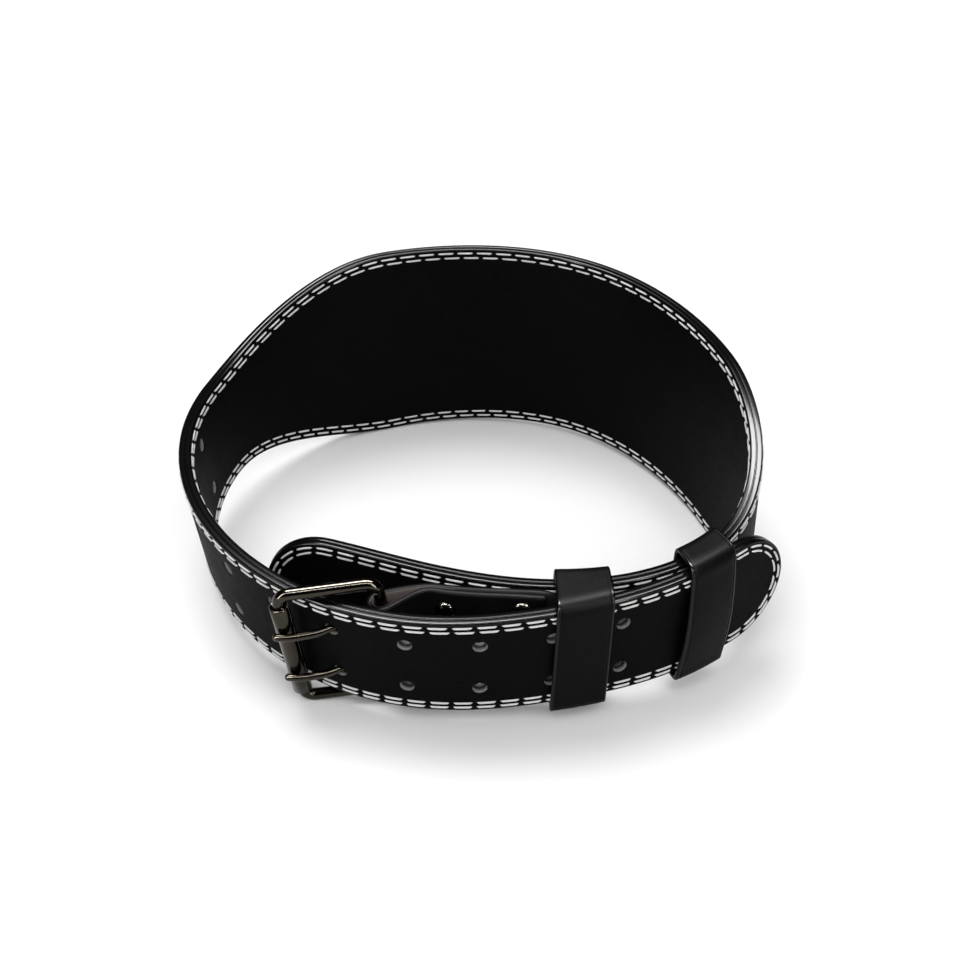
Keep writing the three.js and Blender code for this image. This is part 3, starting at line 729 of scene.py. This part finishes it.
def rivet_profile():
    """From the back's middle: a flat disc with a rolled rim and a shallow centre, the shank, then the cap's
    rolled rim and its dome, whose height is the cosine of its radius's share."""
    back = -STRAP_THICKNESS / 2 - GAP
    front = STRAP_THICKNESS / 2 + 2 * HOLDER_THICKNESS + 3 * GAP
    r, h, b = RIVET_HEAD_RADIUS, RIVET_HEAD_HEIGHT, RIVET_BACK_HEIGHT
    share = np.linspace(0, 1, 9)[1:]
    turn = share * math.pi / 2
    rim = front + RIVET_RIM
    dome = np.stack([0.93 * r * np.cos(turn), rim + (h - RIVET_RIM) * np.sin(turn)], -1)
    inside = [(0, back - 0.3 * b), (1.2, back - 0.3 * b), (1.7, back - 0.7 * b), (2.2, back - b),
              (0.9 * r, back - b), (r, back - 0.6 * b), (r, back - 0.2 * b), (0.94 * r, back)]
    shank = [(SHANK_RADIUS, back), (SHANK_RADIUS, front)]
    lip = [(0.95 * r, front), (r, front + 0.15), (r, front + 0.32), (0.95 * r, rim)]
    return [*inside, *shank, *lip, *dome[:-1], (0, front + h)]


for name, share, up_share in RIVETS:
    points, faces = turned(rivet_profile(), share * STRAP_LENGTH, up_share)
    rivet = add_piece(name + "_cap", points.reshape(-1, 3), faces, RIVET_NICKEL)
    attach(rivet, "root")
    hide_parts(name)


# Buckle frame: a closed rectangle of dark nickel-plated wire with round corners. One long side is the hinge
# bar in the strap's fold, and the other carries the roller.
FRAME_CLEARANCE = 2.25
FRAME_HALF_HEIGHT = FRONT_HEIGHT / 2 + FRAME_CLEARANCE + WIRE_RADIUS
FRAME_CORNER = 5.0


def swept(centres, radius, normal, around=20, closed=False):
    """A round tube: circles set square to a line of centres, measured from a fixed normal of its plane."""
    tangent = (np.roll(centres, -1, 0) - np.roll(centres, 1, 0)) if closed else np.gradient(centres, axis=0)
    tangent /= np.linalg.norm(tangent, axis=1, keepdims=True)
    side = np.cross(tangent, normal)
    side /= np.linalg.norm(side, axis=1, keepdims=True)
    other = np.cross(side, tangent)
    angle = np.linspace(0, 2 * math.pi, around, endpoint=False)
    radius = np.broadcast_to(radius, len(centres))[:, None, None]
    ring = side[:, None] * np.cos(angle)[:, None] + other[:, None] * np.sin(angle)[:, None]
    faces = grid_faces(len(centres), around, wrap_rows=closed, wrap_columns=True)
    return centres[:, None] + radius * ring, faces


def frame_line():
    """The frame's middle line: straight sides with evenly divided quarter circles between them."""
    corners = ((ROLLER_REACH - FRAME_CORNER, -1, -90), (ROLLER_REACH - FRAME_CORNER, 1, 0),
               (FRAME_CORNER, 1, 90), (FRAME_CORNER, -1, 180))
    edge = FRAME_HALF_HEIGHT - FRAME_CORNER
    line = []
    for reach, side, start in corners:
        angle = np.radians(start + np.linspace(0, 90, 11))
        turn = np.stack([np.cos(angle), np.sin(angle)], -1)
        line.append(turn * FRAME_CORNER + (reach, side * edge))
    line = np.concatenate(line)
    step = np.linalg.norm(np.roll(line, -1, 0) - line, axis=1)
    run = np.concatenate([[0], np.cumsum(step)])
    even = np.unique(np.concatenate([run[:-1], np.arange(0, run[-1], 2.5)]))
    ring = np.concatenate([line, line[:1]])
    return np.interp(even, run, ring[:, 0]), np.interp(even, run, ring[:, 1])


reach, rise = frame_line()
points, faces = swept(buckle_point(reach, 0, rise), WIRE_RADIUS, BUCKLE_AXES[1], closed=True)
wire = add_piece("buckle_wire", points.reshape(-1, 3), faces, NICKEL)
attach(wire, "root")
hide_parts("buckle_frame")


# Roller: a strip of the same plated metal rolled into a tube round the frame's outer bar, with a fine open
# seam along it and rounded lips at both ends.
ROLLER_PLAY = 1.0
ROLLER_LENGTH = 2 * (FRAME_HALF_HEIGHT - FRAME_CORNER) - ROLLER_PLAY
ROLLER_RADIUS = 4.1
ROLLER_WALL = 1.1
ROLLER_SEAM = math.radians(158)
SEAM_GAP = math.radians(5)


def roller_mesh(around=72):
    """A C-shaped wall whose section is a rounded strip, bent round the axis and drawn along it: radius and
    angle follow a closed profile, and both ends and both lips are rounded."""
    half, wall = ROLLER_LENGTH / 2, ROLLER_WALL
    lip = [(1, half - 0.4), (0.85, half - 0.12), (0.5, half), (0.15, half - 0.12), (0, half - 0.4)]
    lower = [(share, -rise) for share, rise in lip[::-1]]
    profile = lower[2:] + [(1, -half / 2), (1, 0), (1, half / 2)] + lip + [(0, 0)] + lower[:2]
    share, rise = np.array(profile).T
    radius = ROLLER_RADIUS - wall + share * wall
    angle = ROLLER_SEAM + np.linspace(SEAM_GAP / 2, 2 * math.pi - SEAM_GAP / 2, around)
    x = ROLLER_REACH + radius[:, None] * np.cos(angle)
    y = radius[:, None] * np.sin(angle)
    points = buckle_point(x, y, np.broadcast_to(rise[:, None], x.shape))
    faces = [list(f) for f in grid_faces(len(profile), around, wrap_rows=True)]
    for column in (0, around - 1):
        loop = [row * around + column for row in range(len(profile))]
        pairs = [(loop[i], loop[i + 1], loop[-i - 2], loop[-i - 1]) for i in range(len(loop) // 2 - 1)]
        faces.extend([list(pair) for pair in pairs])
    return points.reshape(-1, 3), faces


points, faces = roller_mesh()
roller = add_piece("buckle_roller", points, faces, NICKEL)
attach(roller, "root")
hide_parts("roller")


# Prongs: two stout pins of plated wire. Each is bent round the hinge bar as an eye, comes out through its
# hole in the billet, and lies over the roller, with a rounded tip.
PRONG_RADIUS = 1.5
PRONG_RISE = 6.3
EYE_RADIUS = 4.45
PRONG_END = 1.6
PRONG_REACH = (0, 0.2, 0.38, 0.53, 0.68, 0.84, 0.99, 1.12)
PRONG_LIFT = (0.706, 0.444, 0.29, 0.6, 0.905, 1, 0.98, 0.76)
PRONG_SHARE = (0, 0.62, 0.74, 0.92, 1)
PRONG_THICKNESS = (1, 1, 1.15, 1.15, 1.05)


def prong_mesh(up):
    """A tube along three quarters of a circle round the hinge bar and then along the prong's line. It is
    thickest where it lies over the billet, and closes at both ends as half an ellipse."""
    line = np.stack([np.array(PRONG_REACH) * ROLLER_REACH, np.array(PRONG_LIFT) * PRONG_RISE], -1)
    angle = np.radians(np.linspace(360, 90, 25)[:-1])
    eye = EYE_RADIUS * np.stack([np.cos(angle), np.sin(angle)], -1)
    path = np.concatenate([eye, smooth_line(line, 70)])
    run = np.concatenate([[0], np.cumsum(np.linalg.norm(np.diff(path, axis=0), axis=1))])
    cap = PRONG_END * (1 - np.cos(np.linspace(0, math.pi / 2, 8)))
    even = np.unique(np.concatenate([cap, np.linspace(PRONG_END, run[-1] - PRONG_END, 90), run[-1] - cap]))
    reach, lift = np.interp(even, run, path[:, 0]), np.interp(even, run, path[:, 1])
    taper = PRONG_RADIUS * np.interp(even / run[-1], PRONG_SHARE, PRONG_THICKNESS)
    from_end = np.clip(np.minimum(even, run[-1] - even) / PRONG_END, 0, 1)
    radius = taper * np.sqrt(np.clip(1 - (1 - from_end) ** 2, 1e-9, 1))
    return swept(buckle_point(reach, lift, up), radius, BUCKLE_AXES[2], around=16)


for name, up_side in (("prong_upper", 1), ("prong_lower", -1)):
    points, faces = prong_mesh(up_side * HOLE_SPACING / 2)
    prong = add_piece(name + "_pin", points.reshape(-1, 3), faces, NICKEL)
    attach(prong, "root")
    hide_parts(name)


# Keepers: two loops of smoother black leather round the inner layer and the billet. One sits close behind the
# buckle strap and the other slides along to hold the billet's tip.
KEEPER_THICKNESS = 2.0
KEEPER_WIDTH = 24.0
KEEPER_SLACK = 3.0
KEEPER_CLEAR = 0.7
KEEPER_CORNER = 3.0
KEEPER_SHOULDER = 5.2
KEEPER_PAINT = 1.1
KEEPERS = (("keeper_fixed", 0.8855, 0.1244, 0.04, 0.017), ("keeper_sliding", 0.9437, 0.1797, 0.167, 0.1))


def keeper_line(billet, inner, slant, bow, shift, grow):
    """A closed line round both layers at one distance along the keeper's width: straight runs between four
    corners rounded as quadratic Bezier curves, with the front swelling as half a sine."""
    clear = STRAP_THICKNESS / 2 + KEEPER_CLEAR + grow
    high = FRONT_HEIGHT / 2 + KEEPER_SLACK + grow
    at_billet, at_inner = billet * STRAP_LENGTH + shift, inner * STRAP_LENGTH + shift
    back = slant * KEEPER_WIDTH
    corner = np.stack([strap_point(at_billet, clear, high), strap_point(at_inner, -clear, high),
                       strap_point(at_inner - back, -clear, -high),
                       strap_point(at_billet - back, clear, -high)])
    radius = np.array([KEEPER_SHOULDER, KEEPER_CORNER, KEEPER_CORNER, KEEPER_CORNER]) + grow

    def towards(start, other):
        step = other - start
        return step / np.linalg.norm(step, axis=1, keepdims=True)

    before = corner + towards(corner, np.roll(corner, 1, 0)) * radius[:, None]
    after = corner + towards(corner, np.roll(corner, -1, 0)) * radius[:, None]
    t = np.linspace(0, 1, 11)[None, :, None]
    bends = before[:, None] * (1 - t) ** 2 + corner[:, None] * 2 * t * (1 - t) + after[:, None] * t ** 2
    u = np.linspace(0, 1, 14)[1:-1][None, :, None]
    runs = after[:, None] * (1 - u) + np.roll(before, -1, 0)[:, None] * u
    swell = (corner[0] - corner[1]) * (1, 1, 0)
    swell *= bow * KEEPER_WIDTH / np.linalg.norm(swell)
    runs[3] += np.sin(np.pi * u[0]) * swell
    return np.concatenate([bends, runs], 1).reshape(-1, 3)


def keeper_mesh(keeper):
    """The keeper's line at every point of a rounded strip's section: place across the width and growth out
    from the inner side."""
    w, t = KEEPER_WIDTH, KEEPER_THICKNESS
    outer = [(0, t * 0.5), (0.1, t * 0.75), (0.35, t * 0.93), (0.8, t), (1.3, t - 0.02), (1.6, t - 0.16),
             (1.9, t - 0.02)]
    spread = [(x, t) for x in np.linspace(2.6, w - 2.6, 9)]
    inner = [(w - 0.1, t * 0.25), (w - 0.5, 0)] + [(x, 0) for x in np.linspace(w - 3, 3, 7)]
    section = outer + spread + [(w - x, g) for x, g in outer[::-1]] + inner + [(0.5, 0), (0.1, t * 0.25)]
    lines = np.stack([keeper_line(*keeper[1:], shift, grow) for shift, grow in section])
    edge = np.array([float(x < KEEPER_PAINT or x > w - KEEPER_PAINT) for x, _ in section])
    faces = grid_faces(*lines.shape[:2], wrap_rows=True, wrap_columns=True)
    return lines.reshape(-1, 3), faces, np.repeat(edge, lines.shape[1])


KEEPER_LEATHER = leather_look("keeper_leather", (0.0008, 0.0008, 0.0010), 0.30, 0.35, 0.045, 0.24, 0.0015)
for keeper in KEEPERS:
    vertices, faces, edge = keeper_mesh(keeper)
    shares = {"edge": edge, "bore": 0 * edge}
    loop = add_piece(keeper[0] + "_leather", vertices, faces, KEEPER_LEATHER, shares)
    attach(loop, "root")
    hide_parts(keeper[0])


# Stage: a plain pale floor, an even pale surround that isn't mirrored, a soft key from above and behind, a
# soft fill in front, and long narrow panels that draw thin streaks on the metal, the edges and the keepers.
FLOOR_SIZE = 8.0
KEY_FROM = (-0.3, 0.4, 1.2)
PANELS_FACE = (0, -0.08, 0.05)


def stage_floor():
    look = Look("pale_floor")
    grain = look.noise(400, 2)
    material = look.finish(Base_Color=look.mix(grain, (0.93, 0.93, 0.93), (0.94, 0.94, 0.94)), Roughness=0.8,
                           Specular_IOR_Level=0.1)
    mesh = bpy.data.meshes.new("floor")
    half = FLOOR_SIZE / 2
    corners = [(-half, -half, 0), (half, -half, 0), (half, half, 0), (-half, half, 0)]
    mesh.from_pydata(corners, [], [(0, 1, 2, 3)])
    mesh.materials.append(material)
    floor = bpy.data.objects.new("floor", mesh)
    bpy.context.scene.collection.objects.link(floor)


def soft_panel(name, place, width, height, power, streak=True):
    """A rectangular lamp that faces the front of the belt, with its width level. A streak lamp shows only as
    a reflection, as a narrow strip light does. The others light the pieces and the floor, unmirrored."""
    lamp = bpy.data.lights.new(name, "AREA")
    lamp.shape, lamp.size, lamp.size_y, lamp.energy = "RECTANGLE", width, height, power
    panel = bpy.data.objects.new(name, lamp)
    panel.location = place
    panel.rotation_euler = (Vector(PANELS_FACE) - Vector(place)).to_track_quat("-Z", "Y").to_euler()
    panel.visible_diffuse = not streak
    panel.visible_glossy = streak
    bpy.context.scene.collection.objects.link(panel)


stage_floor()
sun = bpy.data.lights.new("key", "SUN")
sun.energy, sun.angle = 1.6, math.radians(34)
key = bpy.data.objects.new("key", sun)
key.rotation_euler = Vector(KEY_FROM).to_track_quat("Z", "Y").to_euler()
bpy.context.scene.collection.objects.link(key)
soft_panel("left_panel", (-0.9, -0.75, 0.45), 0.07, 1.0, 20)
soft_panel("right_panel", (0.75, -0.95, 0.55), 0.05, 1.0, 15)
soft_panel("front_panel", (0.0, -0.75, 1.15), 1.6, 0.07, 24)
soft_panel("back_panel", (0.0, 0.25, 1.45), 1.6, 0.3, 125)
soft_panel("front_fill", (0.0, -1.1, 1.2), 1.5, 1.0, 12, streak=False)

world = bpy.data.worlds.new("surround")
world.use_nodes = True
world.node_tree.nodes["Background"].inputs["Color"].default_value = (1, 1, 1, 1)
world.node_tree.nodes["Background"].inputs["Strength"].default_value = 0.52
bpy.context.scene.world = world
world.cycles_visibility.glossy = False
bpy.context.scene.view_settings.view_transform = "Standard"
bpy.context.scene.view_settings.look = "None"


# Camera: it stands in front of the buckle at the photograph's angle, level along the belt's X and dipped, so
# that the tall back shows its inner face over the low front.
CAMERA_PLACE = (91.3, -520.4, 468.9)
CAMERA_DIP = math.radians(38.51)
CAMERA_LENS = 60.83
CAMERA_SENSOR = 36.0

camera = bpy.data.objects.new("camera", bpy.data.cameras.new("camera"))
bpy.context.scene.collection.objects.link(camera)
camera.data.lens = CAMERA_LENS
camera.data.sensor_width = CAMERA_SENSOR
camera.data.clip_start = 0.01
steps_from_camera = ((0, 0, 0), (1, 0, 0), (0, math.sin(CAMERA_DIP), math.cos(CAMERA_DIP)))
place, to_right, to_up = (Vector(p) for p in in_world(np.array(steps_from_camera) * 1000 + CAMERA_PLACE))
right, up = to_right - place, to_up - place
camera.matrix_world = Matrix.Translation(place) @ Matrix((right, up, right.cross(up))).transposed().to_4x4()
bpy.context.scene.camera = camera
